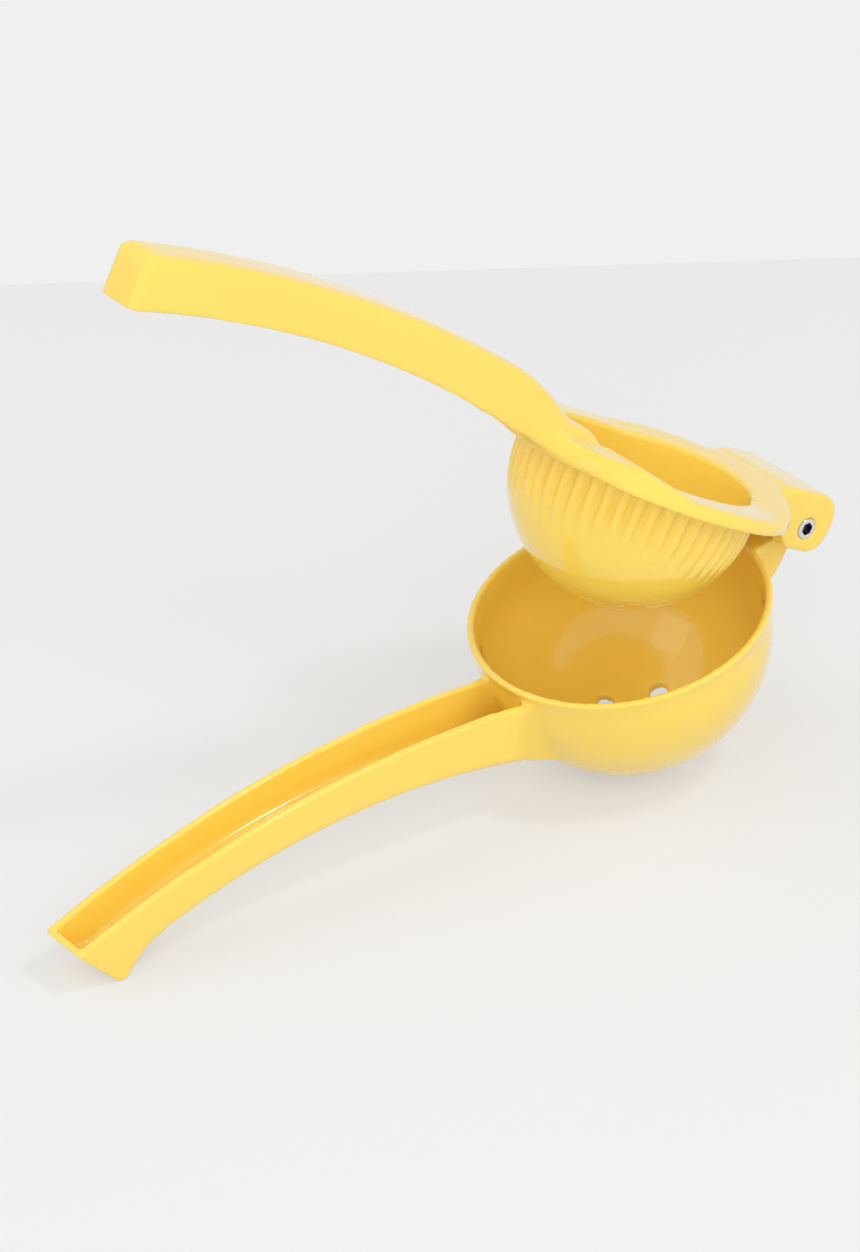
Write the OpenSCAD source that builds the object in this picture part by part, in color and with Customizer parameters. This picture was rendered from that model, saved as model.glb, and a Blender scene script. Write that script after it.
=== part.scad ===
// Hinged lemon squeezer: two cast jaws on one hinge, resting on a table with the press jaw held open.
//
// Both jaws are drawn closed, in the jaw frame: the origin is the middle of the bowl's rim, X runs from
// the handles to the hinge, Y runs across and Z is square to the rim. The lower jaw is then leaned back
// until its bowl and its foot both stand on the floor, and the upper jaw is swung open about the hinge.
// The part's own origin is the middle of the small land that the bowl stands on.

/* [Pose] */

// lean of the bowl's rim on the table, handle side down (degrees)
restTilt = 12.6; // [9:0.1:16]
// swing of the upper jaw from the position where the rims are parallel (degrees)
openAngle = 40.3; // [0:0.1:90]

/* [Bowl] */

// outer radius of the bowl's ball
bowlR = 37.1; // [35:0.1:42]
// wall of the bowl
bowlWall = 1.9; // [1.5:0.1:3]
// height of the rim above the middle of the ball
rimRise = 5.6; // [3:0.1:9]
// how far the rim flares out past the ball
rimFlare = 0.9; // [0.4:0.1:2]
// rounding of the rim's outer edge
rimRound = 0.6; // [0.2:0.1:0.9]
// depth of the flat land that the bowl stands on
landDepth = 0.2; // [0.1:0.05:0.5]
// drain holes in the ring
drainCount = 6; // [4:1:10]
// diameter of a drain hole
drainD = 4.5; // [3:0.1:6]
// radius of the ring of drain holes
drainRingR = 13.5; // [9:0.5:18]

/* [Lower handle] */

// half width of the handle at the bowl
lowHalfRoot = 8.5; // [7:0.1:12]
// half width of the handle at its tip
lowHalfTip = 7.0; // [5:0.1:10]
// distance from the bowl's middle to the top of the tip
lowLength = 168.5; // [120:0.5:220]
// radius of the curve along the top edges
lowTopR = 278; // [180:1:500]
// height of the top edges near the bowl
lowTopRootZ = -2.2; // [-6:0.1:0]
// height of the top edges at the tip
lowTopTipZ = 5.8; // [2:0.1:12]
// radius of the curve along the underside
lowUnderR = 194; // [150:1:400]
// depth of the handle near the bowl
lowDepthRoot = 17.3; // [12:0.1:24]
// depth of the handle where the foot begins
lowDepthFoot = 11.8; // [9:0.1:16]
// slope of the end wall from upright (degrees)
endSlope = 32; // [10:1:40]
// radius of the curve that sweeps the foot down
footR = 17; // [10:0.5:30]
// length of the pad that the foot stands on
footPad = 2.4; // [1.5:0.1:6]

/* [Handle walls] */

// thickness of the handles' side walls
sideWall = 2.0; // [1.5:0.1:3]
// thickness of the handles' webs
webWall = 2.5; // [1.5:0.1:4]
// rounding along the web's outer edges
webRound = 2.8; // [1:0.1:4]
// rounding along the inside of a channel
channelRound = 2.0; // [0.5:0.1:3]
// fillet between the lower handle's side and the bowl
rootFillet = 8; // [4:0.5:14]

/* [Press cup] */

// room between the press cup and the bowl, for half a squeezed lemon
cupRoom = 4.6; // [3:0.1:8]
// wall of the press cup
cupWall = 3.0; // [2.2:0.1:4]
// depth of the cup's middle below the closed rim
cupDrop = 0.4; // [0:0.1:3]
// flutes round the cup
fluteCount = 48; // [24:2:60]
// depth of a flute under the flange
fluteDepth = 0.7; // [0.4:0.05:1]
// width of a flute's floor
fluteFloor = 0.4; // [0.2:0.05:0.8]
// latitude on the cup where the flutes run out (degrees)
fluteEnd = 21.5; // [15:0.5:30]

/* [Flange] */

// how far the flange stands out past the bowl's rim
flangeLip = 0.5; // [0:0.1:3]
// height of the flange's underside above the closed rim
flangeGap = 3.0; // [1:0.1:5]
// thickness of the flange halfway along
flangeThick = 3.6; // [3:0.1:6]
// rounding of the flange's upper edge
flangeRound = 2.4; // [1:0.1:3]
// slope of the flange's rise to the handle (degrees)
riseSlope = 13.5; // [8:0.5:18]
// where the rise begins, measured from the cup's middle towards the handle
riseStart = 14; // [0:0.5:20]
// slope of the flange's rise to the hinge block (degrees)
hingeSlope = 9.5; // [5:0.5:14]
// where that rise begins, measured from the cup's middle towards the hinge
hingeStart = 16; // [8:0.5:24]
// draft of the rises' walls over their height
riseDraft = 1.2; // [0.5:0.1:2]
// fillet between the handle's side and the flange, seen from above
flangeFillet = 14; // [6:0.5:20]

/* [Upper handle] */

// half width of the handle at the flange
upHalfRoot = 8.4; // [7:0.1:12]
// half width of the handle at its end
upHalfEnd = 6.4; // [4:0.1:10]
// distance from the cup's middle to the end wall
upLength = 176.5; // [120:0.5:220]
// radius of the curve along the top
upTopR = 385; // [250:1:600]
// height of the top near the flange
upTopRootZ = 18.1; // [14:0.1:24]
// height of the top at the end
upTopEndZ = 27.0; // [20:0.1:36]
// radius of the curve along the lower edges
upUnderR = 307; // [200:1:500]
// depth of the handle near the flange
upDepthRoot = 14.3; // [10:0.1:20]
// depth of the handle at the end
upDepthEnd = 13.0; // [9:0.1:18]
// radius of the curve that brings the top down to the flange
upDropR = 50; // [30:1:160]
// where that curve begins, outside the flange's edge
upDropReach = 5.5; // [1:0.5:20]
// rounding of the end seen from the side
endRound = 4.5; // [2:0.1:6]
// rounding of the end's upright corners
endCorner = 3.0; // [1:0.1:5]

/* [Hinge] */

// distance from the bowl's rim to the hinge axis
hingeReach = 11.4; // [9:0.1:16]
// height of the hinge axis above the closed rim
hingeZ = 1.3; // [-1:0.1:4]
// half width over the ears
earHalf = 14.45; // [12:0.05:18]
// thickness of an ear
earThick = 4.95; // [3.5:0.05:6]
// front of the ears, behind the hinge axis
earFront = 8.2; // [7:0.1:10]
// back of the ears, beyond the hinge axis
earBack = 8.2; // [7:0.1:10]
// bottom of the ears below the hinge axis
earDrop = 6.0; // [5:0.1:8]
// top of the hinge block above the hinge axis
earRise = 9.3; // [7:0.1:12]
// rounding of the ears' back corners
earRound = 6.2; // [3:0.1:7]
// rounding of the ears' front lower corner
earToeRound = 5.0; // [2:0.1:6]
// radius of the tongue's barrel
tongueR = 5.6; // [4.5:0.1:6.5]
// room round the tongue's barrel inside the hinge block
slotRoom = 0.5; // [0.2:0.1:1]
// slope of the tongue's back face (degrees)
tongueSlope = 46.8; // [35:0.1:60]
// distance from the hinge axis to the tongue's back face
tongueBack = 3.2; // [2.5:0.1:5]
// height of the tongue's top edge below the rim
tongueTop = 0.4; // [0:0.1:2]
// swing at which the hinge block's back wall meets the tongue (degrees)
stopAngle = 95; // [75:1:120]

/* [Hinge fastener] */

// radius of the barrel nut's body
pinR = 2.25; // [1.8:0.05:3]
// radius of both fastener heads
headR = 2.75; // [2.4:0.05:4]
// height of both fastener heads
headH = 2.0; // [1.2:0.1:2.5]
// size of the hex sockets across their flats
socketAF = 3.0; // [2:0.1:3.5]
// depth of the hex sockets
socketDepth = 1.4; // [0.8:0.1:2]
// radius of the screw's shank
screwR = 1.5; // [1.2:0.05:1.7]
// length of the screw's shank inside the barrel
screwReach = 12; // [6:0.5:18]
// gap between the barrel's end and the screw's head
clampGap = 0.4; // [0.2:0.1:1]
// running clearance between the tongue's bore and the barrel, on the radius
pinRun = 0.05; // [0.01:0.01:0.1]
// clearance between a washer's bore and the barrel, on the radius
washerRun = 0.08; // [0.01:0.01:0.1]
// outer radius of a washer
washerR = 5.2; // [4:0.1:6]
// thickness of a washer
washerThick = 0.6; // [0.4:0.1:1]
// side clearance between a washer and its ear
washerPlay = 0.04; // [0.01:0.01:0.1]

/* [Nodes] */

// sub-part to show

/* [Hidden] */

$fn = 128;

enamel = [0.98, 0.82, 0.34];
steel = [0.78, 0.79, 0.80];
nylon = [0.93, 0.93, 0.90];

// how far a cutter runs past the face that it cuts
over = 1;
// more than the width of either jaw
wide = 100;
// more than the depth of either handle
deep = 40;

// how far the root fillets stay above the handle's underside
rootShy = 0.4;
// how far the foot's sides stay inside the handle's
footShy = 0.05;

rimR = bowlR + rimFlare;
flareR = (rimFlare * rimFlare + rimRise * rimRise) / (2 * rimFlare);
cavityR = bowlR - bowlWall;
cupR = cavityR - cupRoom;
cupInnerR = cupR - cupWall;
flangeR = rimR + flangeLip;
flangeTop = flangeGap + flangeThick;
hingeX = rimR + hingeReach;
upDropX = flangeR + upDropReach;

tipX = -lowLength;
endX = -upLength;
// stations near the bowl and before the foot where the handles' depths are given
rootX = -(rimR + 2);
footX = tipX + 18.5;
// where the handles end inside the bowl's and the cup's walls
lowInX = -(cavityR - 9);
upInX = -(cupInnerR - 3);

// middle of the circle of radius r through a and b, on the side below the chord
function arcCentre(a, b, r) =
    let (d = b - a, half = norm(d) / 2)
    (a + b) / 2 + sqrt(r * r - half * half) * [d[1], -d[0]] / (2 * half);
// height at x of the circle's upper side
function arcZ(c, r, x) = c[1] + sqrt(r * r - (x - c[0]) * (x - c[0]));
// angle at the circle's middle of the point above x
function arcAngle(c, r, x) = acos((x - c[0]) / r);

lowTopC = arcCentre([tipX, lowTopTipZ], [rootX, lowTopRootZ], lowTopR);
lowUnderC = arcCentre(
    [footX, arcZ(lowTopC, lowTopR, footX) - lowDepthFoot],
    [rootX, lowTopRootZ - lowDepthRoot],
    lowUnderR
);
upTopC = arcCentre([endX, upTopEndZ], [rootX, upTopRootZ], upTopR);
upUnderC = arcCentre([endX, upTopEndZ - upDepthEnd], [rootX, upTopRootZ - upDepthRoot], upUnderR);

// the curve that drops to the flange leaves the handle's top curve without a kink
dropLean = arcAngle(upTopC, upTopR, -upDropX);
dropC = upTopC + (upTopR - upDropR) * [cos(dropLean), sin(dropLean)];

lowTaper = atan((lowHalfRoot - lowHalfTip) / (lowLength + rootX));
upTaper = atan((upHalfRoot - upHalfEnd) / (upLength + rootX));

seatX = -rimRise * sin(restTilt);
seatZ = rimRise * cos(restTilt) + bowlR - landDepth;

fluteStep = 360 / fluteCount;
fluteTopZ = flangeGap + cupDrop;
fluteRun = sqrt(cupR * cupR - fluteTopZ * fluteTopZ) - fluteDepth - cupR * cos(fluteEnd);
fluteLean = atan(fluteRun / (fluteTopZ + cupR * sin(fluteEnd)));
fluteFloorR = cupR * cos(fluteEnd - fluteLean);
// the ridges' circles stand a little proud of the ball, so that the ball trims them
ridgeTrim = 0.06;
ridgeRise = cupR + ridgeTrim - fluteFloorR;
ridgeHalf = fluteFloorR * tan(fluteStep / 2) - fluteFloor / 2;
ridgeR = (ridgeHalf * ridgeHalf + ridgeRise * ridgeRise) / (2 * ridgeRise);
fluteHalf = cupR * tan(fluteStep / 2) - 0.45;

tongueHalf = earHalf - earThick - washerThick - washerPlay;
slotHalf = earHalf - earThick;
slotR = tongueR + slotRoom;
// the lip's corner touches the tongue's back face at the stop
lipAngle = stopAngle - (90 - tongueSlope) - acos(tongueBack / slotR);

// ---- shared moves and helpers ----

module seat() {
    translate([seatX, 0, seatZ])
        rotate([0, -restTilt, 0])
            children();
}

module swing(angle) {
    translate([hingeX, 0, hingeZ])
        rotate([0, angle, 0])
            translate([-hingeX, 0, -hingeZ])
                children();
}

// a side view, drawn with X along the jaws and Y up, made solid across the jaw
module across(width) {
    rotate([90, 0, 0])
        linear_extrude(height = width, center = true)
            children();
}

// a round bar across the jaw
module bar(c, r, width) {
    translate([c[0], 0, c[1]])
        rotate([90, 0, 0])
            cylinder(r = r, h = width, center = true);
}

module bothSides() {
    children();
    mirror([0, 1, 0])
        children();
}

// what lies on the near side of the middle plane
module nearHalf() {
    intersection() {
        children();
        translate([-wide * 3, -wide, -wide])
            cube([wide * 4, wide, wide * 2]);
    }
}

// half of a handle, swept along a curve and turned so that its side follows the taper
module sweepHalf(c, x0, x1, r, taper) {
    a0 = arcAngle(c, r, x1);
    a1 = arcAngle(c, r, x0);
    nearHalf()
        translate([rootX, 0, 0])
            rotate([0, 0, -taper])
                translate([c[0] - rootX, 0, c[1]])
                    rotate([90, 0, 0])
                        rotate([0, 0, a0])
                            rotate_extrude(angle = a1 - a0, $fn = 720)
                                children();
}

// half of a channel's section: web on the curve, wall on the outer side, one rounded corner
module webIn(r, height, half, round) {
    translate([r, -over])
        square([round, half - round + over]);
    translate([r + round, -over])
        square([height - round, half + over]);
    translate([r + round, half - round])
        circle(r = round);
}

module webOut(r, height, half, round) {
    translate([r - round, -over])
        square([round, half - round + over]);
    translate([r - height, -over])
        square([height - round, half + over]);
    translate([r - round, half - round])
        circle(r = round);
}

// plan of the fillets between a handle's sides and the round jaw
module rootPlan(half, r, fillet) {
    // the plan starts inside the handle's side wall
    inner = half - 0.9 * sideWall;
    reach = sqrt((r + fillet) * (r + fillet) - (half + fillet) * (half + fillet));
    middle = [reach, half + fillet];
    land = middle * r / (r + fillet);
    bothSidesFlat() {
        difference() {
            polygon([
                [reach, inner],
                [reach, half],
                land,
                land - [3, 3],
                [land[0] - 3, inner]
            ]);
            translate(middle)
                circle(r = fillet - 0.1);
        }
    }
}

module bothSidesFlat() {
    children();
    mirror([0, 1])
        children();
}

// ---- lower jaw ----

// section of the ball with its flared rim, drawn with X out from the axis
module ballSection(r, top) {
    intersection() {
        translate([0, -rimRise])
            circle(r = r);
        translate([0, -rimRise - r - over])
            square([r + over, r + over]);
    }
    difference() {
        translate([0, -rimRise])
            square([r + 2 * rimFlare, rimRise + top]);
        translate([r + flareR, -rimRise])
            circle(r = flareR);
    }
}

module bowlSolid() {
    rotate_extrude() {
        difference() {
            ballSection(bowlR, 0);
            difference() {
                translate([rimR - rimRound, -rimRound])
                    square(rimRound + over);
                translate([rimR - rimRound, -rimRound])
                    circle(r = rimRound);
            }
        }
    }
}

module bowlCavity() {
    rotate_extrude()
        ballSection(cavityR, over);
}

module drainHoles() {
    drop = rimRise + bowlR + over;
    translate([0, 0, -drop])
        cylinder(d = drainD, h = bowlR);
    for (i = [0 : drainCount - 1])
        rotate([0, 0, (i + 0.5) * 360 / drainCount])
            translate([drainRingR, 0, -drop])
                cylinder(d = drainD, h = bowlR);
}

// everything between the end wall's outer face and the bowl, under the top edges
module lowEnvelope() {
    lean = tan(endSlope);
    intersection() {
        translate(lowTopC)
            circle(r = lowTopR, $fn = 720);
        polygon([
            [tipX - deep * lean, lowTopTipZ + deep],
            [tipX + deep * lean, lowTopTipZ - deep],
            [0, lowTopTipZ - deep],
            [0, lowTopTipZ + deep]
        ]);
    }
}

// the foot reaches down past the floor, which then trims it
module footProfile() {
    // the end wall's plane meets the floor here
    fall = (seatZ + tipX * sin(restTilt) + lowTopTipZ * cos(restTilt)) / (cos(restTilt) - sin(restTilt) * tan(endSlope));
    padX = tipX + fall * tan(endSlope) + footPad * cos(restTilt);
    padZ = lowTopTipZ - fall - footPad * sin(restTilt);
    pad = [padX, padZ];
    gap = norm(pad - lowUnderC);
    inner = lowUnderR - footR + 0.3;
    turn = acos((inner * inner + gap * gap - footR * footR) / (2 * inner * gap));
    lean = acos((padX - lowUnderC[0]) / gap) - turn;
    sweepC = lowUnderC + inner * [cos(lean), sin(lean)];
    difference() {
        polygon([
            [tipX - 5, padZ - 6],
            [tipX - 5, 2],
            [sweepC[0], 2],
            [sweepC[0], padZ - 6]
        ]);
        translate(sweepC)
            circle(r = footR);
    }
}

module lowerHandle() {
    under = lowUnderR + webWall;
    scoopR = lowTopTipZ - 0.5 - arcZ(lowUnderC, under, tipX + 11);
    scoopC = [tipX + 2 + scoopR, lowTopTipZ - 0.5];
    difference() {
        intersection() {
            union() {
                bothSides()
                    sweepHalf(lowUnderC, tipX - 8, lowInX, lowUnderR, lowTaper)
                        webIn(lowUnderR, deep, lowHalfRoot, webRound);
                bothSides()
                    nearHalf()
                        translate([rootX, 0, 0])
                            rotate([0, 0, -lowTaper])
                                translate([-rootX, 0, 0])
                                    across(2 * (lowHalfRoot - footShy))
                                        footProfile();
            }
            across(wide)
                lowEnvelope();
        }
        bothSides()
            sweepHalf(lowUnderC, scoopC[0], lowInX + 2, lowUnderR, lowTaper)
                webIn(under, deep, lowHalfRoot - sideWall, channelRound);
        bar([scoopC[0], scoopC[1]], scoopR, 2 * (lowHalfTip - sideWall));
    }
}

// the fillets follow the ball, so they are turned about its middle
module lowerRoot() {
    intersection() {
        translate([0, 0, -rimRise])
            rotate([90, 0, 0])
                rotate_extrude()
                    rootPlan(lowHalfRoot, bowlR - 1, rootFillet);
        across(wide)
            difference() {
                lowEnvelope();
                translate(lowUnderC)
                    circle(r = lowUnderR + rootShy, $fn = 720);
            }
    }
}

module tongue() {
    back = 90 - tongueSlope;
    along = [-cos(tongueSlope), -sin(tongueSlope)];
    heel = [hingeX, hingeZ] + tongueBack * [cos(back), -sin(back)];
    across(2 * tongueHalf)
        union() {
            translate([hingeX, hingeZ])
                circle(r = tongueR);
            polygon([
                heel,
                heel + 14 * along,
                [bowlR - 4, -16],
                [bowlR - 4, -tongueTop],
                [hingeX - tongueR + 0.3, -tongueTop],
                [hingeX - tongueR / 2, hingeZ + tongueR * 0.7]
            ]);
        }
}

module lowerJaw() {
    difference() {
        union() {
            bowlSolid();
            lowerHandle();
            lowerRoot();
            tongue();
        }
        bowlCavity();
        drainHoles();
        bar([hingeX, hingeZ], pinR + pinRun, wide);
    }
}

module lower_jaw() {
    color(enamel)
        difference() {
            seat()
                lowerJaw();
            translate([-wide * 3, -wide, -wide])
                cube([wide * 6, wide * 2, wide]);
        }
}

// ---- upper jaw ----

module cupSolid() {
    rotate_extrude() {
        intersection() {
            translate([0, -cupDrop])
                circle(r = cupR);
            translate([0, -cupDrop - cupR - over])
                square([cupR + over, cupR + over]);
        }
        translate([0, -cupDrop - 0.01])
            square([cupR, flangeTop + cupDrop - over]);
    }
}

// section of one flute: the room between two round ridges, with a narrow floor
module fluteView() {
    reach = fluteHalf * 2;
    difference() {
        translate([fluteFloorR, -fluteHalf])
            square([reach, reach]);
        bothSidesFlat()
            rotate(fluteStep / 2)
                translate([cupR + ridgeTrim - ridgeR, 0])
                    circle(r = ridgeR);
    }
}

// straight flutes, each leaned so that its floor meets the ball where the flutes run out
module flutes() {
    for (i = [0 : fluteCount - 1])
        rotate([0, 0, i * fluteStep])
            translate([0, 0, -cupDrop])
                rotate([0, fluteLean, 0])
                    translate([0, 0, -cupR])
                        linear_extrude(height = cupR + 7)
                            fluteView();
}

// a disc with its upper edge rounded, its top face at Z = 0
module roundedDisc(r, depth, round) {
    rotate_extrude() {
        translate([0, -depth])
            square([r, depth - round]);
        translate([0, -round - 0.01])
            square([r - round, round + 0.01]);
        translate([r - round, -round])
            intersection() {
                circle(r = round);
                square(round);
            }
    }
}

module leanedDisc(start, slope) {
    translate([start, 0, flangeTop])
        rotate([0, slope, 0])
            translate([-start, 0, 0])
                roundedDisc(flangeR, deep, flangeRound);
}

module flange() {
    translate([0, 0, flangeTop])
        roundedDisc(flangeR, flangeThick, flangeRound);
    // it rises to the handle and to the hinge as leaned discs, kept inside its drafted wall
    intersection() {
        union() {
            leanedDisc(-riseStart, riseSlope);
            leanedDisc(hingeStart, -hingeSlope);
        }
        translate([0, 0, flangeGap])
            cylinder(r1 = flangeR, r2 = flangeR - riseDraft, h = 14);
    }
}

// side view of the upper handle's outside: the top curve, the drop to the flange and the rounded end
module upEnvelope() {
    endTop = arcZ(upTopC, upTopR, endX + endRound);
    intersection() {
        translate(upTopC)
            circle(r = upTopR + over, $fn = 720);
        union() {
            translate([endX + endRound, -over])
                square([upLength - endRound - upDropX, upTopEndZ + deep]);
            intersection() {
                translate(dropC)
                    circle(r = upDropR, $fn = 360);
                translate([-upDropX - 0.01, -over])
                    square([upDropX, upTopEndZ + deep]);
            }
            translate([endX, -over])
                square([endRound + 0.01, endTop - endRound + over]);
            translate([endX + endRound, endTop - endRound])
                circle(r = endRound);
        }
    }
}

// what the end's rounded upright corners take away
module upEndCorners() {
    // a little wider than the end, so that the corners run out on the handle's sides
    half = upHalfEnd + 0.3;
    translate([0, 0, -over])
        linear_extrude(height = upTopEndZ + deep)
            bothSidesFlat()
                translate([endX - over, half - endCorner])
                    difference() {
                        square([endCorner + over, upHalfRoot]);
                        translate([endCorner + over, 0])
                            circle(r = endCorner);
                    }
}

module upperHandle() {
    difference() {
        intersection() {
            bothSides()
                sweepHalf(upTopC, endX - 4, upInX, upTopR, upTaper)
                    webOut(upTopR, deep, upHalfRoot, webRound);
            across(wide)
                upEnvelope();
        }
        upEndCorners();
        bothSides()
            sweepHalf(upTopC, endX + webWall, 4.5 - flangeR, upTopR, upTaper)
                webOut(upTopR - webWall, deep + 2 * over, upHalfRoot - sideWall, channelRound);
        bar(upUnderC, upUnderR, wide);
        underFlange();
    }
}

// the room under the flange, where the bowl's rim comes when the jaws are closed
module underFlange() {
    translate([-wide * 3, -wide / 2, flangeGap - deep])
        cube([wide * 4, wide, deep]);
}

// the fillets carry the flange's rise on to the handle's sides, a little lower than its top
module upperRoot() {
    lowered = flangeTop - over;
    intersection() {
        translate([0, 0, flangeGap])
            linear_extrude(height = deep)
                mirror([1, 0])
                    rootPlan(upHalfRoot, flangeR - riseDraft, flangeFillet);
        across(wide)
            difference() {
                polygon([
                    [-riseStart, 0],
                    [-riseStart, lowered],
                    [-riseStart - wide, lowered + wide * tan(riseSlope)],
                    [-riseStart - wide, 0]
                ]);
                translate(upUnderC)
                    circle(r = upUnderR + rootShy, $fn = 720);
            }
    }
}

// side view of one ear with its three rounded corners
module earView() {
    x0 = hingeX - earFront;
    x1 = hingeX + earBack;
    z0 = hingeZ - earDrop;
    z1 = hingeZ + earRise;
    translate([x0 + earToeRound, z0])
        square([x1 - x0 - earToeRound - earRound, z1 - z0]);
    translate([x0, z0 + earToeRound])
        square([earToeRound + 0.01, z1 - z0 - earToeRound]);
    translate([x1 - earRound - 0.01, z0 + earRound])
        square([earRound + 0.01, z1 - z0 - 2 * earRound]);
    translate([x0 + earToeRound, z0 + earToeRound])
        circle(r = earToeRound);
    translate([x1 - earRound, z0 + earRound])
        circle(r = earRound);
    translate([x1 - earRound, z1 - earRound])
        circle(r = earRound);
}

// side view of the block between the flange and the ears; its front dips into the flange's rise
module blockView() {
    top = hingeZ + earRise;
    frontX = flangeR - 5.5;
    meetX = hingeStart + (top - flangeTop) / tan(hingeSlope);
    polygon([
        [frontX, flangeGap],
        [frontX, top - 1.6],
        [meetX, top],
        [hingeX, top],
        [hingeX, flangeGap]
    ]);
}

// side view of the room for the tongue, ending at the lip that stops the swing
module slotView() {
    translate([hingeX, hingeZ]) {
        circle(r = slotR);
        polygon([
            [0, 0],
            deep * [cos(lipAngle), sin(lipAngle)],
            [deep, -deep],
            [-earFront - over, -deep],
            [-earFront - over, 0]
        ]);
    }
}

module hingeBlock() {
    difference() {
        across(2 * earHalf)
            union() {
                earView();
                blockView();
            }
        across(2 * slotHalf)
            slotView();
    }
}

module earBores() {
    bar([hingeX, hingeZ], pinR, wide);
    bothSides()
        translate([hingeX, -earHalf + headH, hingeZ])
            rotate([90, 0, 0])
                cylinder(r = headR, h = 10);
}

module cupHollow() {
    translate([0, 0, -cupDrop]) {
        sphere(r = cupInnerR);
        cylinder(r = cupInnerR, h = deep);
    }
}

module upperJaw() {
    difference() {
        union() {
            difference() {
                cupSolid();
                flutes();
            }
            flange();
            upperHandle();
            upperRoot();
            hingeBlock();
        }
        cupHollow();
        earBores();
    }
}

module upper_jaw() {
    color(enamel)
        seat()
            swing(openAngle)
                upperJaw();
}

// ---- hinge fastener ----

module hexSocket() {
    cylinder(d = socketAF / cos(30), h = socketDepth + over, $fn = 6);
}

// drawn along the hinge with the near side's head at the bottom
module barrelNut() {
    length = 2 * earHalf - headH - clampGap;
    difference() {
        union() {
            cylinder(r = headR, h = headH);
            cylinder(r = pinR, h = length);
        }
        translate([0, 0, length - screwReach - over])
            cylinder(r = screwR, h = screwReach + 2 * over);
        translate([0, 0, -over])
            hexSocket();
    }
}

module capScrew() {
    difference() {
        union() {
            cylinder(r = headR, h = headH);
            cylinder(r = screwR, h = headH + clampGap + screwReach);
        }
        translate([0, 0, -over])
            hexSocket();
    }
}

module alongHinge(y, turn) {
    translate([hingeX, y, hingeZ])
        rotate([turn, 0, 0])
            children();
}

module hinge_barrel() {
    color(steel)
        seat()
            swing(openAngle)
                alongHinge(-earHalf, -90)
                    barrelNut();
}

module hinge_screw() {
    color(steel)
        seat()
            swing(openAngle)
                alongHinge(earHalf, 90)
                    capScrew();
}

module washer() {
    difference() {
        cylinder(r = washerR, h = washerThick);
        translate([0, 0, -over])
            cylinder(r = pinR + washerRun, h = washerThick + 2 * over);
    }
}

module hinge_washer_near() {
    color(nylon)
        seat()
            alongHinge(-tongueHalf, 90)
                washer();
}

module hinge_washer_far() {
    color(nylon)
        seat()
            alongHinge(tongueHalf, -90)
                washer();
}

lower_jaw();
upper_jaw();
hinge_barrel();
hinge_screw();
hinge_washer_near();
hinge_washer_far();
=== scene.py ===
import math

import bmesh
import bpy
from mathutils import Matrix, Vector


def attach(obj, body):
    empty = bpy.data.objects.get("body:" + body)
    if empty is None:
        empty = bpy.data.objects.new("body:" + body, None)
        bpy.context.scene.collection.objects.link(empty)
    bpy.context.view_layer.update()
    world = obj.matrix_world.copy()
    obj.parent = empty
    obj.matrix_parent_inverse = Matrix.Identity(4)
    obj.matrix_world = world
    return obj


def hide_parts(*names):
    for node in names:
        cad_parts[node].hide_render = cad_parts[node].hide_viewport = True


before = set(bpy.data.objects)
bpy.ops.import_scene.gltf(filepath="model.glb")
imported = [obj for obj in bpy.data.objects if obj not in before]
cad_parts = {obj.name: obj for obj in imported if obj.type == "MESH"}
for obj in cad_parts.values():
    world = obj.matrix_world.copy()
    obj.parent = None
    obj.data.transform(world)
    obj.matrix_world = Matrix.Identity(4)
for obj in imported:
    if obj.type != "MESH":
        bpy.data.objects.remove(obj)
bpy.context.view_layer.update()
scene = bpy.context.scene
print("frame loaded")

mm = 0.001

# how the two jaws stand, in mm and degrees, as in the part's source
stance = {
    "restTilt": 12.6,
    "openAngle": 40.3,
    "rimRise": 5.6,
    "bowlRadius": 37.1,
    "landDepth": 0.2,
    "hingeX": 49.4,
    "hingeZ": 1.3,
    "earHalf": 14.45,
}

tilt = math.radians(stance["restTilt"])
seatShift = Vector((
    -stance["rimRise"] * math.sin(tilt),
    0,
    stance["rimRise"] * math.cos(tilt) + stance["bowlRadius"] - stance["landDepth"],
))
hingeAt = Vector((stance["hingeX"], 0, stance["hingeZ"]))
seat = Matrix.Translation(seatShift) @ Matrix.Rotation(-tilt, 4, "Y")
swing = (
    Matrix.Translation(hingeAt)
    @ Matrix.Rotation(math.radians(stance["openAngle"]), 4, "Y")
    @ Matrix.Translation(-hingeAt)
)
lowerPlace = Matrix.Scale(mm, 4) @ seat          # lower jaw, drawn with its rim at Z = 0
upperPlace = Matrix.Scale(mm, 4) @ seat @ swing  # upper jaw, drawn closed


def linkMesh(name, mesh):
    thing = bpy.data.objects.new(name, mesh)
    scene.collection.objects.link(thing)
    return thing


def applyModifiers(thing):
    depsgraph = bpy.context.evaluated_depsgraph_get()
    finished = bpy.data.meshes.new_from_object(thing.evaluated_get(depsgraph))
    thing.modifiers.clear()
    thing.data = finished
    return finished


def smoothShade(mesh):
    mesh.polygons.foreach_set("use_smooth", [True] * len(mesh.polygons))
    mesh.update()


def newGroup(name, sockets):
    group = bpy.data.node_groups.new(name, "ShaderNodeTree")
    for label, direction, kind, value in sockets:
        socket = group.interface.new_socket(name=label, in_out=direction, socket_type=kind)
        if value is not None:
            socket.default_value = value
    inputs = group.nodes.new("NodeGroupInput")
    outputs = group.nodes.new("NodeGroupOutput")
    return group, inputs, outputs


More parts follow.
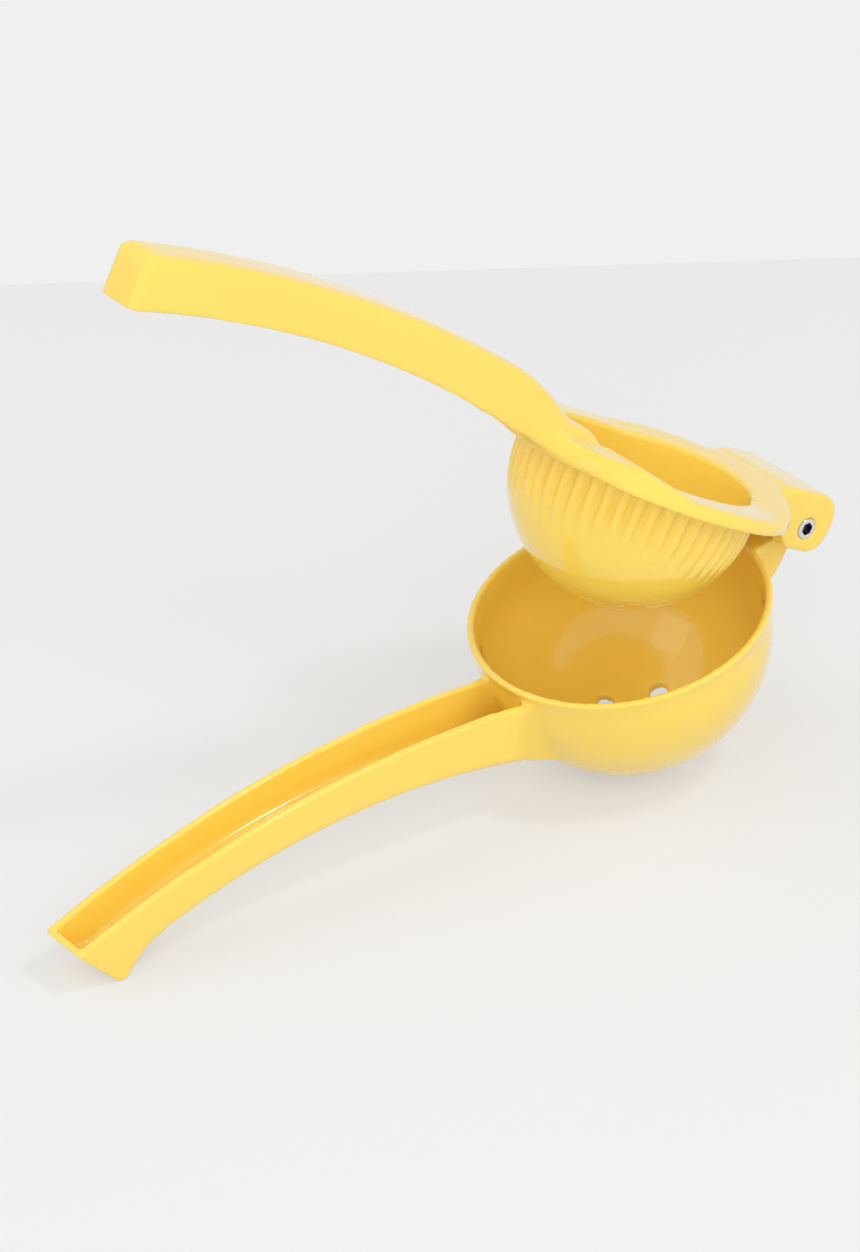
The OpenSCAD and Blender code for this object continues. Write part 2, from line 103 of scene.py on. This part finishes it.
def makeOrangePeel():
    # the slight ripple that sprayed enamel dries with, plus fine pin specks
    group, inputs, outputs = newGroup("orangePeel", [
        ("Vector", "INPUT", "NodeSocketVector", None),
        ("Ripple Scale", "INPUT", "NodeSocketFloat", 420.0),
        ("Speck Scale", "INPUT", "NodeSocketFloat", 1600.0),
        ("Speck Amount", "INPUT", "NodeSocketFloat", 0.25),
        ("Height", "OUTPUT", "NodeSocketFloat", None),
    ])
    nodes, links = group.nodes, group.links
    ripple = nodes.new("ShaderNodeTexNoise")
    ripple.inputs["Detail"].default_value = 2.0
    links.new(inputs.outputs["Vector"], ripple.inputs["Vector"])
    links.new(inputs.outputs["Ripple Scale"], ripple.inputs["Scale"])
    speck = nodes.new("ShaderNodeTexNoise")
    speck.inputs["Detail"].default_value = 1.0
    links.new(inputs.outputs["Vector"], speck.inputs["Vector"])
    links.new(inputs.outputs["Speck Scale"], speck.inputs["Scale"])
    share = nodes.new("ShaderNodeMath")
    share.operation = "MULTIPLY"
    links.new(speck.outputs["Fac"], share.inputs[0])
    links.new(inputs.outputs["Speck Amount"], share.inputs[1])
    total = nodes.new("ShaderNodeMath")
    total.operation = "ADD"
    links.new(ripple.outputs["Fac"], total.inputs[0])
    links.new(share.outputs[0], total.inputs[1])
    links.new(total.outputs[0], outputs.inputs["Height"])
    return group


def makeHandling():
    # soft patches where the surface has been touched and wiped
    group, inputs, outputs = newGroup("handling", [
        ("Vector", "INPUT", "NodeSocketVector", None),
        ("Patch Scale", "INPUT", "NodeSocketFloat", 30.0),
        ("Low", "INPUT", "NodeSocketFloat", 0.16),
        ("High", "INPUT", "NodeSocketFloat", 0.24),
        ("Roughness", "OUTPUT", "NodeSocketFloat", None),
        ("Patch", "OUTPUT", "NodeSocketFloat", None),
    ])
    nodes, links = group.nodes, group.links
    patch = nodes.new("ShaderNodeTexNoise")
    patch.inputs["Detail"].default_value = 4.0
    patch.inputs["Roughness"].default_value = 0.55
    links.new(inputs.outputs["Vector"], patch.inputs["Vector"])
    links.new(inputs.outputs["Patch Scale"], patch.inputs["Scale"])
    spread = nodes.new("ShaderNodeMapRange")
    spread.interpolation_type = "SMOOTHSTEP"
    spread.inputs["From Min"].default_value = 0.38
    spread.inputs["From Max"].default_value = 0.68
    links.new(patch.outputs["Fac"], spread.inputs["Value"])
    links.new(inputs.outputs["Low"], spread.inputs["To Min"])
    links.new(inputs.outputs["High"], spread.inputs["To Max"])
    links.new(spread.outputs["Result"], outputs.inputs["Roughness"])
    links.new(patch.outputs["Fac"], outputs.inputs["Patch"])
    return group


orangePeel = makeOrangePeel()
handling = makeHandling()


def newMaterial(name):
    material = bpy.data.materials.new(name)
    material.use_nodes = True
    nodes, links = material.node_tree.nodes, material.node_tree.links
    shader = nodes["Principled BSDF"]
    coords = nodes.new("ShaderNodeTexCoord")
    return material, nodes, links, shader, coords


def placeGroup(nodes, group, **values):
    node = nodes.new("ShaderNodeGroup")
    node.node_tree = group
    for label, value in values.items():
        node.inputs[label.replace("_", " ")].default_value = value
    return node


enamelLook = {
    "thin": (0.97, 0.72, 0.14, 1),      # where the coat is thinner, on edges
    "full": (0.97, 0.70, 0.115, 1),
    "deep": (0.96, 0.675, 0.095, 1),    # where it gathers
    "toneDetail": 3.0,
    "edgeFrom": 0.52,                   # pointiness where the coat starts to thin
    "edgeTo": 0.62,
    "patchScale": 26.0,
    "roughLow": 0.13,
    "roughHigh": 0.21,
    "rippleScale": 380.0,
    "rippleDepth": 0.00002,
    "rippleStrength": 0.5,
    "speckAmount": 0.12,
    "coat": 0.8,
    "coatRoughness": 0.04,
    "specular": 0.25,
    "ior": 1.5,
}


def makeEnamel(name, toneScale):
    material, nodes, links, shader, coords = newMaterial(name)
    tone = nodes.new("ShaderNodeTexNoise")
    tone.inputs["Scale"].default_value = toneScale
    tone.inputs["Detail"].default_value = enamelLook["toneDetail"]
    links.new(coords.outputs["Object"], tone.inputs["Vector"])
    gather = nodes.new("ShaderNodeMix")
    gather.data_type = "RGBA"
    gather.inputs["A"].default_value = enamelLook["full"]
    gather.inputs["B"].default_value = enamelLook["deep"]
    links.new(tone.outputs["Fac"], gather.inputs["Factor"])
    shape = nodes.new("ShaderNodeNewGeometry")
    edge = nodes.new("ShaderNodeMapRange")
    edge.inputs["From Min"].default_value = enamelLook["edgeFrom"]
    edge.inputs["From Max"].default_value = enamelLook["edgeTo"]
    links.new(shape.outputs["Pointiness"], edge.inputs["Value"])
    thin = nodes.new("ShaderNodeMix")
    thin.data_type = "RGBA"
    links.new(edge.outputs["Result"], thin.inputs["Factor"])
    links.new(gather.outputs["Result"], thin.inputs["A"])
    thin.inputs["B"].default_value = enamelLook["thin"]
    links.new(thin.outputs["Result"], shader.inputs["Base Color"])
    touched = placeGroup(
        nodes, handling,
        Patch_Scale=enamelLook["patchScale"],
        Low=enamelLook["roughLow"],
        High=enamelLook["roughHigh"],
    )
    links.new(coords.outputs["Object"], touched.inputs["Vector"])
    links.new(touched.outputs["Roughness"], shader.inputs["Roughness"])
    peel = placeGroup(
        nodes, orangePeel,
        Ripple_Scale=enamelLook["rippleScale"],
        Speck_Amount=enamelLook["speckAmount"],
    )
    links.new(coords.outputs["Object"], peel.inputs["Vector"])
    bump = nodes.new("ShaderNodeBump")
    bump.inputs["Strength"].default_value = enamelLook["rippleStrength"]
    bump.inputs["Distance"].default_value = enamelLook["rippleDepth"]
    links.new(peel.outputs["Height"], bump.inputs["Height"])
    links.new(bump.outputs["Normal"], shader.inputs["Normal"])
    shader.inputs["Coat Weight"].default_value = enamelLook["coat"]
    shader.inputs["Coat Roughness"].default_value = enamelLook["coatRoughness"]
    shader.inputs["Specular IOR Level"].default_value = enamelLook["specular"]
    shader.inputs["IOR"].default_value = enamelLook["ior"]
    return material


steelLook = {
    "pale": (0.86, 0.85, 0.84, 1),
    "dull": (0.70, 0.70, 0.70, 1),
    # the two socket colours are painted shade for the shadowed inside of the hex socket
    "socket": (0.03, 0.03, 0.032, 1),
    "socketEdge": (0.12, 0.12, 0.12, 1),
    "turnScale": 2600.0,
    "turnDistortion": 1.5,
    "turnDetail": 2.0,
    "turnDepth": 0.00002,
    "turnStrength": 0.25,
    "rubScale": 500.0,
    "rubLow": 0.22,
    "rubHigh": 0.42,
    "socketMottleScale": 900.0,
    "socketMottleRoughLow": 0.35,
    "socketMottleRoughHigh": 0.6,
}


def makeSteel():
    # turned face of the fastener: fine rings round the hinge axis, plated
    material, nodes, links, shader, coords = newMaterial("turnedSteel")
    onAxis = nodes.new("ShaderNodeMapping")
    axisPoint = lowerPlace @ hingeAt
    onAxis.inputs["Location"].default_value = (-axisPoint.x, 0, -axisPoint.z)
    links.new(coords.outputs["Object"], onAxis.inputs["Vector"])
    rings = nodes.new("ShaderNodeTexWave")
    rings.wave_type = "RINGS"
    rings.rings_direction = "Y"
    rings.inputs["Scale"].default_value = steelLook["turnScale"]
    rings.inputs["Distortion"].default_value = steelLook["turnDistortion"]
    rings.inputs["Detail"].default_value = steelLook["turnDetail"]
    links.new(onAxis.outputs["Vector"], rings.inputs["Vector"])
    tint = nodes.new("ShaderNodeMix")
    tint.data_type = "RGBA"
    tint.inputs["A"].default_value = steelLook["dull"]
    tint.inputs["B"].default_value = steelLook["pale"]
    links.new(rings.outputs["Fac"], tint.inputs["Factor"])
    links.new(tint.outputs["Result"], shader.inputs["Base Color"])
    rubbed = placeGroup(
        nodes, handling,
        Patch_Scale=steelLook["rubScale"],
        Low=steelLook["rubLow"],
        High=steelLook["rubHigh"],
    )
    links.new(coords.outputs["Object"], rubbed.inputs["Vector"])
    links.new(rubbed.outputs["Roughness"], shader.inputs["Roughness"])
    bump = nodes.new("ShaderNodeBump")
    bump.inputs["Strength"].default_value = steelLook["turnStrength"]
    bump.inputs["Distance"].default_value = steelLook["turnDepth"]
    links.new(rings.outputs["Fac"], bump.inputs["Height"])
    links.new(bump.outputs["Normal"], shader.inputs["Normal"])
    shader.inputs["Metallic"].default_value = 1.0
    return material


def makeSocketPaintedShade():
    # the inside of the hex socket: near-black painted shade stands in for the shadow in the recess, mottled
    # in colour and roughness
    material, nodes, links, shader, coords = newMaterial("socketPaintedShade")
    socketMottle = placeGroup(
        nodes, handling,
        Patch_Scale=steelLook["socketMottleScale"],
        Low=steelLook["socketMottleRoughLow"],
        High=steelLook["socketMottleRoughHigh"],
    )
    links.new(coords.outputs["Object"], socketMottle.inputs["Vector"])
    tint = nodes.new("ShaderNodeMix")
    tint.data_type = "RGBA"
    tint.inputs["A"].default_value = steelLook["socket"]
    tint.inputs["B"].default_value = steelLook["socketEdge"]
    links.new(socketMottle.outputs["Patch"], tint.inputs["Factor"])
    links.new(tint.outputs["Result"], shader.inputs["Base Color"])
    links.new(socketMottle.outputs["Roughness"], shader.inputs["Roughness"])
    shader.inputs["Metallic"].default_value = 1.0
    return material


nylonLook = {
    "shade": (0.80, 0.79, 0.75, 1),
    "light": (0.86, 0.86, 0.83, 1),
    "mottleScale": 700.0,
    "mottleDetail": 3.0,
    "bumpStrength": 0.2,
    "bumpDepth": 0.00003,
    "roughness": 0.55,
    "subsurface": 0.1,
}


def makeNylon():
    material, nodes, links, shader, coords = newMaterial("nylonWasher")
    mottle = nodes.new("ShaderNodeTexNoise")
    mottle.inputs["Scale"].default_value = nylonLook["mottleScale"]
    mottle.inputs["Detail"].default_value = nylonLook["mottleDetail"]
    links.new(coords.outputs["Object"], mottle.inputs["Vector"])
    tint = nodes.new("ShaderNodeMix")
    tint.data_type = "RGBA"
    tint.inputs["A"].default_value = nylonLook["shade"]
    tint.inputs["B"].default_value = nylonLook["light"]
    links.new(mottle.outputs["Fac"], tint.inputs["Factor"])
    links.new(tint.outputs["Result"], shader.inputs["Base Color"])
    bump = nodes.new("ShaderNodeBump")
    bump.inputs["Strength"].default_value = nylonLook["bumpStrength"]
    bump.inputs["Distance"].default_value = nylonLook["bumpDepth"]
    links.new(mottle.outputs["Fac"], bump.inputs["Height"])
    links.new(bump.outputs["Normal"], shader.inputs["Normal"])
    shader.inputs["Roughness"].default_value = nylonLook["roughness"]
    shader.inputs["Subsurface Weight"].default_value = nylonLook["subsurface"]
    return material


enamelLower = makeEnamel("enamelLower", 14.0)
enamelUpper = makeEnamel("enamelUpper", 17.0)
turnedSteel = makeSteel()
socketPaintedShade = makeSocketPaintedShade()
nylon = makeNylon()
print("materials made")


def between(marks, x):
    # value at x on a broken line through (x, value) marks
    for (fromX, fromValue), (toX, toValue) in zip(marks, marks[1:]):
        if fromX <= x <= toX:
            return fromValue + (toValue - fromValue) * (x - fromX) / (toX - fromX)
    return None


def reshape(mesh, place, toJaw, values):
    # fuller flutes, and the hollow where the handle comes down to the cup's mouth
    press, flutes = values.get("press"), values.get("flutes")
    for vertex in mesh.vertices:
        at = toJaw @ vertex.co
        moved = False
        if press and at.z > press["floor"]:
            top = between(press["oldTop"], at.x)
            if top is not None:
                share = min(1.0, (at.z - press["floor"]) / (top - press["floor"]))
                at.z -= share * (top - between(press["newTop"], at.x))
                moved = True
        fromAxis = math.hypot(at.x, at.y)
        fromMiddle = math.hypot(fromAxis, at.z + flutes["middle"]) if flutes else 0
        if flutes and at.z < flutes["top"] and abs(fromMiddle - flutes["radius"]) < flutes["skin"]:
            valley = (0.5 + 0.5 * math.cos(flutes["count"] * math.atan2(at.y, at.x))) ** flutes["pinch"]
            fade = (at.z - flutes["end"]) / (flutes["full"] - flutes["end"])
            fade = min(1.0, max(0.0, fade))
            inward = flutes["deeper"] * valley * fade * fade * (3 - 2 * fade) / fromAxis
            at.x -= at.x * inward
            at.y -= at.y * inward
            moved = True
        if moved:
            vertex.co = place @ at
    mesh.update()


def softCasting(nodeName, pieceName, place, values):
    # a cast and enamelled skin: the solid's own form with every edge and root softened
    source = bmesh.new()
    source.from_mesh(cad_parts[nodeName].data)
    bmesh.ops.remove_doubles(source, verts=source.verts, dist=1e-6)
    mesh = bpy.data.meshes.new(pieceName)
    source.to_mesh(mesh)
    source.free()
    casting = linkMesh(pieceName, mesh)
    grid = casting.modifiers.new("evenGrid", "REMESH")
    grid.mode = "VOXEL"
    grid.voxel_size = values["grid"] * mm
    applyModifiers(casting)

    toJaw = place.inverted()
    reshape(casting.data, place, toJaw, values)

    # soft roots: each spot is a place in the jaw's own frame, its reach and its strength
    roots = casting.vertex_groups.new(name="roots")
    skin = casting.vertex_groups.new(name="skin")
    lip, crisp = values.get("lip"), values.get("crisp")
    for vertex in casting.data.vertices:
        at = toJaw @ vertex.co
        fromAxis = math.hypot(at.x, at.y)
        weight = 0.0
        for spot, reach, strength in values["roots"]:
            far = (at - Vector(spot)).length / reach
            if far < 1:
                weight = max(weight, strength * (1 - far * far) ** 2)
        if lip and at.z > lip["above"]:
            far = abs(fromAxis - lip["radius"]) / lip["reach"]
            if far < 1:
                weight = max(weight, lip["strength"] * (1 - far * far) ** 2)
        if weight > 0:
            roots.add([vertex.index], weight, "REPLACE")
        onFlutes = crisp and at.z < crisp["below"] and fromAxis < crisp["within"]
        skin.add([vertex.index], crisp["strength"] if onFlutes else 1.0, "REPLACE")
    evenOut = casting.modifiers.new("evenOut", "SMOOTH")
    evenOut.factor = values["pull"]
    evenOut.iterations = values["evenOut"]
    evenOut.vertex_group = "skin"
    blend = casting.modifiers.new("blend", "SMOOTH")
    blend.factor = values["pull"]
    blend.iterations = values["blend"]
    blend.vertex_group = "roots"
    # thinned last: a coarser grid would close up the hinge's bore
    thin = casting.modifiers.new("thin", "DECIMATE")
    thin.ratio = values["keep"]
    finished = applyModifiers(casting)
    casting.vertex_groups.clear()

    tidy = bmesh.new()
    tidy.from_mesh(finished)
    bmesh.ops.recalc_face_normals(tidy, faces=tidy.faces)
    tidy.to_mesh(finished)
    tidy.free()
    smoothShade(finished)
    print(pieceName, sum(len(face.vertices) - 2 for face in finished.polygons), "triangles")
    return casting


lowerValues = {
    "grid": 0.54,
    "pull": 0.5,
    "evenOut": 5,
    "blend": 60,
    "keep": 0.68,
    "roots": [
        ((-37, -12, -10), 10, 1.0),
        ((-37, 12, -10), 10, 1.0),
        ((-36, 0, -20), 10, 0.8),
        ((-147, -6, -4), 7, 1.0),
        ((-147, 6, -4), 7, 1.0),
        ((38, -9, -8), 6, 0.8),
        ((38, 9, -8), 6, 0.8),
    ],
}

upperValues = {
    "grid": 0.52,
    "pull": 0.5,
    "evenOut": 5,
    "blend": 100,
    "keep": 0.62,
    "lip": {"radius": 26.9, "reach": 2.2, "above": 3.0, "strength": 0.15},   # mouth of the cup
    "crisp": {"below": 2.4, "within": 32.5, "strength": 0.25},               # flutes stay clear
    "flutes": {
        "count": 48, "radius": 30.2, "middle": 0.4, "skin": 1.3,
        "deeper": 0.6, "pinch": 1.4, "top": 2.9, "full": -8.0, "end": -15.5,
    },
    "press": {
        "floor": 6.0,
        "oldTop": [
            (-58, 21.9), (-54.4, 21.0), (-48, 19.4), (-40, 16.8),
            (-36, 15.1), (-31.5, 11.8), (-27, 9.6),
        ],
        "newTop": [
            (-58, 21.9), (-53, 20.4), (-46, 17.4), (-40, 13.7),
            (-35.5, 11.0), (-31.5, 9.5), (-27, 9.0),
        ],
    },
    "roots": [
        ((-42, -10, 9), 11, 1.0),
        ((-42, 10, 9), 11, 1.0),
        ((-35, -12, 12), 11, 1.0),
        ((-35, 12, 12), 11, 1.0),
        ((-31, 0, 11), 9, 0.4),
        ((-27.5, -8, 9.5), 6, 1.0),
        ((-27.5, 8, 9.5), 6, 1.0),
        ((-36, -16, 8), 13, 1.0),
        ((-36, 16, 8), 13, 1.0),
        ((36, -13, 9), 8, 0.9),
        ((36, 13, 9), 8, 0.9),
    ],
}

lowerCasting = softCasting("lower_jaw", "lowerCasting", lowerPlace, lowerValues)
lowerCasting.data.materials.append(enamelLower)
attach(lowerCasting, "lower")
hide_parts("lower_jaw")

upperCasting = softCasting("upper_jaw", "upperCasting", upperPlace, upperValues)
upperCasting.data.materials.append(enamelUpper)
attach(upperCasting, "upper")
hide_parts("upper_jaw")
print("castings made")


fastenerValues = {
    "headRadius": 2.72,
    "shaftRadius": 2.2,
    "headDepth": 2.0,
    "length": 13.2,
    "chamfer": 0.35,
    "socketFlats": 3.0,
    "socketDepth": 1.7,
    "sides": 48,
    "floorDip": 0.5,
    "mouthChamfer": 0.12,
    "mouthReach": 0.62,     # of the flats: edges nearer the axis belong to the socket's mouth
    "socketReach": 0.56,    # of the flats: faces nearer the axis are inside the socket
    "sunk": 0.05,           # head under the ear's face
    "below": 0.2,           # socket faces lie at least this far under it
    "sharpAngle": 32,
}


def makeHead(name, side, values):
    # a flush head with a hex socket, drawn facing +Z and then laid along the hinge
    bm = bmesh.new()
    sides = values["sides"]
    ring = bmesh.ops.create_circle(bm, segments=sides, radius=values["headRadius"])["verts"]
    rimEdges = list({edge for vert in ring for edge in vert.link_edges})
    hexagon = bmesh.ops.create_circle(
        bm, segments=6, radius=values["socketFlats"] / math.sqrt(3)
    )["verts"]
    hexEdges = list({edge for vert in hexagon for edge in vert.link_edges})
    bmesh.ops.subdivide_edges(bm, edges=hexEdges, cuts=sides // 6 - 1)
    hexEdges = [edge for edge in bm.edges if edge not in set(rimEdges)]
    bmesh.ops.bridge_loops(bm, edges=rimEdges + hexEdges)

    sunk = bmesh.ops.extrude_edge_only(bm, edges=hexEdges)["geom"]
    sunkVerts = [item for item in sunk if isinstance(item, bmesh.types.BMVert)]
    bmesh.ops.translate(bm, verts=sunkVerts, vec=(0, 0, -values["socketDepth"]))
    sunkEdges = [item for item in sunk if isinstance(item, bmesh.types.BMEdge)]
    floorPoint = bmesh.ops.extrude_edge_only(bm, edges=sunkEdges)["geom"]
    floorVerts = [item for item in floorPoint if isinstance(item, bmesh.types.BMVert)]
    bmesh.ops.translate(bm, verts=floorVerts, vec=(0, 0, -values["floorDip"]))
    lowest = (0, 0, -values["socketDepth"] - values["floorDip"])
    bmesh.ops.pointmerge(bm, verts=floorVerts, merge_co=lowest)

    edges = rimEdges
    for radius, depth in (
        (values["headRadius"], values["headDepth"]),
        (values["shaftRadius"], values["headDepth"]),
        (values["shaftRadius"], values["length"]),
    ):
        moved = bmesh.ops.extrude_edge_only(bm, edges=edges)["geom"]
        edges = [item for item in moved if isinstance(item, bmesh.types.BMEdge)]
        verts = [item for item in moved if isinstance(item, bmesh.types.BMVert)]
        for vert in verts:
            flat = Vector((vert.co.x, vert.co.y, 0)).normalized() * radius
            vert.co = Vector((flat.x, flat.y, -depth))
    bmesh.ops.holes_fill(bm, edges=edges)
    bmesh.ops.remove_doubles(bm, verts=bm.verts, dist=1e-4)
    outer = [
        edge for edge in bm.edges
        if all(abs(vert.co.z) < 1e-4 and vert.co.length > values["headRadius"] - 0.01 for vert in edge.verts)
    ]
    bmesh.ops.bevel(
        bm, geom=outer, offset=values["chamfer"], affect="EDGES", segments=3, profile=0.5, material=-1
    )
    mouthRadius = values["socketFlats"] * values["mouthReach"]
    mouth = [
        edge for edge in bm.edges
        if all(abs(vert.co.z) < 1e-4 and vert.co.length < mouthRadius for vert in edge.verts)
    ]
    bmesh.ops.bevel(
        bm, geom=mouth, offset=values["mouthChamfer"], affect="EDGES", segments=2, profile=0.5, material=-1
    )
    bmesh.ops.recalc_face_normals(bm, faces=bm.faces)
    turn = Matrix.Rotation(math.radians(90 * -side), 4, "X")
    faceOut = side * (stance["earHalf"] - values["sunk"])
    lay = Matrix.Translation(hingeAt + Vector((0, faceOut, 0))) @ turn
    bm.transform(upperPlace @ lay)
    mesh = bpy.data.meshes.new(name)
    bm.to_mesh(mesh)
    bm.free()
    head = linkMesh(name, mesh)
    mesh.materials.append(turnedSteel)
    mesh.materials.append(socketPaintedShade)
    axisPoint = upperPlace @ hingeAt
    top = abs(upperPlace.translation.y) + (stance["earHalf"] - values["below"]) * mm
    socketRadius = values["socketFlats"] * values["socketReach"] * mm
    # faces inside the socket take the painted-shade material, dark where shade falls in the recess
    for face in mesh.polygons:
        face.use_smooth = True
        off = face.center - axisPoint
        if abs(off.y) < top and math.hypot(off.x, off.z) < socketRadius:
            face.material_index = 1
    mesh.set_sharp_from_angle(angle=math.radians(values["sharpAngle"]))
    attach(head, "upper")
    return head


hingeNut = makeHead("hingeNut", -1, fastenerValues)
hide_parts("hinge_barrel")
hingeBolt = makeHead("hingeBolt", 1, fastenerValues)
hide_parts("hinge_screw")
for nodeName in ("hinge_washer_near", "hinge_washer_far"):
    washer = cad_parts[nodeName]
    washer.data.materials.clear()
    washer.data.materials.append(nylon)
print("hinge made")


stageValues = {
    "floorColour": (0.77, 0.77, 0.77, 1),
    "edgeA": (0.0207, 0.3077),   # two points on the table's back edge
    "edgeB": (0.2346, 0.1695),
    "reach": 2.2,
    "glow": 0.5,
    "plain": (0.91, 0.91, 0.91, 1),
    "mottleScale": 3.0,
    "mottleDetail": 2.0,
    "mottleShade": 0.992,
    "roughness": 0.85,
    "specular": 0.2,
}


def seenDirectly(nodes, links, paths):
    # 1 for rays from the camera, off a mirror or through glass, 0 for the light that fills the room
    mirror = nodes.new("ShaderNodeMath")
    mirror.operation = "MAXIMUM"
    links.new(paths.outputs["Is Camera Ray"], mirror.inputs[0])
    links.new(paths.outputs["Is Glossy Ray"], mirror.inputs[1])
    through = nodes.new("ShaderNodeMath")
    through.operation = "MAXIMUM"
    links.new(mirror.outputs[0], through.inputs[0])
    links.new(paths.outputs["Is Transmission Ray"], through.inputs[1])
    return through


def makeStageMaterial(name, values):
    material, nodes, links, shader, coords = newMaterial(name)
    mottle = nodes.new("ShaderNodeTexNoise")
    mottle.inputs["Scale"].default_value = values["mottleScale"]
    mottle.inputs["Detail"].default_value = values["mottleDetail"]
    links.new(coords.outputs["Object"], mottle.inputs["Vector"])
    tint = nodes.new("ShaderNodeMix")
    tint.data_type = "RGBA"
    tint.inputs["A"].default_value = values["floorColour"]
    shaded = tuple(part * values["mottleShade"] for part in values["floorColour"][:3])
    tint.inputs["B"].default_value = shaded + (1,)
    links.new(mottle.outputs["Fac"], tint.inputs["Factor"])
    links.new(tint.outputs["Result"], shader.inputs["Base Color"])
    shader.inputs["Roughness"].default_value = values["roughness"]
    shader.inputs["Specular IOR Level"].default_value = values["specular"]
    # the camera and mirror reflections see part of the paper as plain pale, the rest keeps its shadow
    paths = nodes.new("ShaderNodeLightPath")
    seen = seenDirectly(nodes, links, paths)
    part = nodes.new("ShaderNodeMath")
    part.operation = "MULTIPLY"
    part.inputs[1].default_value = values["glow"]
    links.new(seen.outputs[0], part.inputs[0])
    plain = nodes.new("ShaderNodeEmission")
    plain.inputs["Color"].default_value = values["plain"]
    both = nodes.new("ShaderNodeMixShader")
    links.new(part.outputs[0], both.inputs["Fac"])
    links.new(shader.outputs[0], both.inputs[1])
    links.new(plain.outputs[0], both.inputs[2])
    links.new(both.outputs[0], nodes["Material Output"].inputs["Surface"])
    return material


def makeStage(values):
    along = Vector(values["edgeB"]) - Vector(values["edgeA"])
    along.normalize()
    middle = (Vector(values["edgeA"]) + Vector(values["edgeB"])) / 2
    front = Vector((along.y, -along.x))
    reach = values["reach"]
    turn = Matrix((
        (along.x, front.x, 0, middle.x),
        (along.y, front.y, 0, middle.y),
        (0, 0, 1, 0),
        (0, 0, 0, 1),
    ))
    bm = bmesh.new()
    bmesh.ops.create_grid(bm, x_segments=2, y_segments=2, size=reach)
    bmesh.ops.translate(bm, verts=bm.verts, vec=(0, reach, 0))
    bm.transform(turn)
    bmesh.ops.recalc_face_normals(bm, faces=bm.faces)
    if bm.faces[:][0].normal.z < 0:
        bmesh.ops.reverse_faces(bm, faces=bm.faces)
    mesh = bpy.data.meshes.new("tableTop")
    bm.to_mesh(mesh)
    bm.free()
    table = linkMesh("tableTop", mesh)
    mesh.materials.append(makeStageMaterial("palePaper", values))


makeStage(stageValues)

skyValues = {"low": 0.42, "high": 0.60, "seen": 0.87}   # a plain pale room, lighter overhead

world = bpy.data.worlds.new("studio")
scene.world = world
world.use_nodes = True
skyNodes, skyLinks = world.node_tree.nodes, world.node_tree.links
background = skyNodes["Background"]
background.inputs["Color"].default_value = (1.0, 1.0, 1.0, 1)
skyCoords = skyNodes.new("ShaderNodeTexCoord")
heading = skyNodes.new("ShaderNodeSeparateXYZ")
skyLinks.new(skyCoords.outputs["Generated"], heading.inputs[0])
overhead = skyNodes.new("ShaderNodeMapRange")
overhead.inputs["To Min"].default_value = skyValues["low"]
overhead.inputs["To Max"].default_value = skyValues["high"]
skyLinks.new(heading.outputs["Z"], overhead.inputs["Value"])
skyPaths = skyNodes.new("ShaderNodeLightPath")
skySeen = seenDirectly(skyNodes, skyLinks, skyPaths)
skyPick = skyNodes.new("ShaderNodeMix")
skyLinks.new(skySeen.outputs[0], skyPick.inputs["Factor"])
skyLinks.new(overhead.outputs["Result"], skyPick.inputs["A"])
skyPick.inputs["B"].default_value = skyValues["seen"]
skyLinks.new(skyPick.outputs["Result"], background.inputs["Strength"])


def addSoftbox(name, position, target, size, power):
    lamp = bpy.data.lights.new(name, "AREA")
    lamp.shape = "RECTANGLE"
    lamp.size, lamp.size_y = size
    lamp.energy = power
    box = bpy.data.objects.new(name, lamp)
    box.location = position
    box.rotation_euler = (Vector(target) - Vector(position)).to_track_quat("-Z", "Y").to_euler()
    scene.collection.objects.link(box)
    return box


# each box: place, aim, width and height, watts, and whether gloss shows it
softboxes = {
    "front": ((-0.791, -1.013, 0.833), (0, 0, 0.06), (1.10, 1.10), 8.1, False),
    "right": ((0.439, -0.942, 0.660), (0, 0, 0.06), (0.60, 0.60), 2.2, False),
    "back": ((-0.683, 0.573, 0.863), (0, 0, 0.06), (0.70, 0.70), 2.5, False),
    "left": ((-1.068, -0.037, 0.605), (0, 0, 0.06), (0.60, 0.60), 0.8, True),
    "high": ((0.282, -0.488, 1.120), (0, 0, 0.06), (0.22, 0.22), 2.8, True),
}
for label, (position, target, size, power, inGloss) in softboxes.items():
    addSoftbox(label, position, target, size, power).visible_glossy = inGloss

view = {
    "at": (-0.68364, -0.79315, 0.65580),
    "right": (0.78891668, -0.6144494, 0.00789909),
    "up": (0.30783539, 0.40630237, 0.86032306),
    "ahead": (0.53183441, 0.67629159, -0.50968799),
    "lens": 142.65,
    "sensorHeight": 36,
    "clipNear": 0.05,
    "clipFar": 20,
}
cameraData = bpy.data.cameras.new("productCamera")
cameraData.sensor_fit = "VERTICAL"
cameraData.sensor_height = view["sensorHeight"]
cameraData.lens = view["lens"]
cameraData.clip_start = view["clipNear"]
cameraData.clip_end = view["clipFar"]
camera = bpy.data.objects.new("productCamera", cameraData)
right, up, ahead = Vector(view["right"]), Vector(view["up"]), Vector(view["ahead"])
camera.matrix_world = Matrix((
    (right.x, up.x, -ahead.x, view["at"][0]),
    (right.y, up.y, -ahead.y, view["at"][1]),
    (right.z, up.z, -ahead.z, view["at"][2]),
    (0, 0, 0, 1),
))
scene.collection.objects.link(camera)
scene.camera = camera
scene.view_settings.view_transform = "Standard"
print("stage, light and camera set")
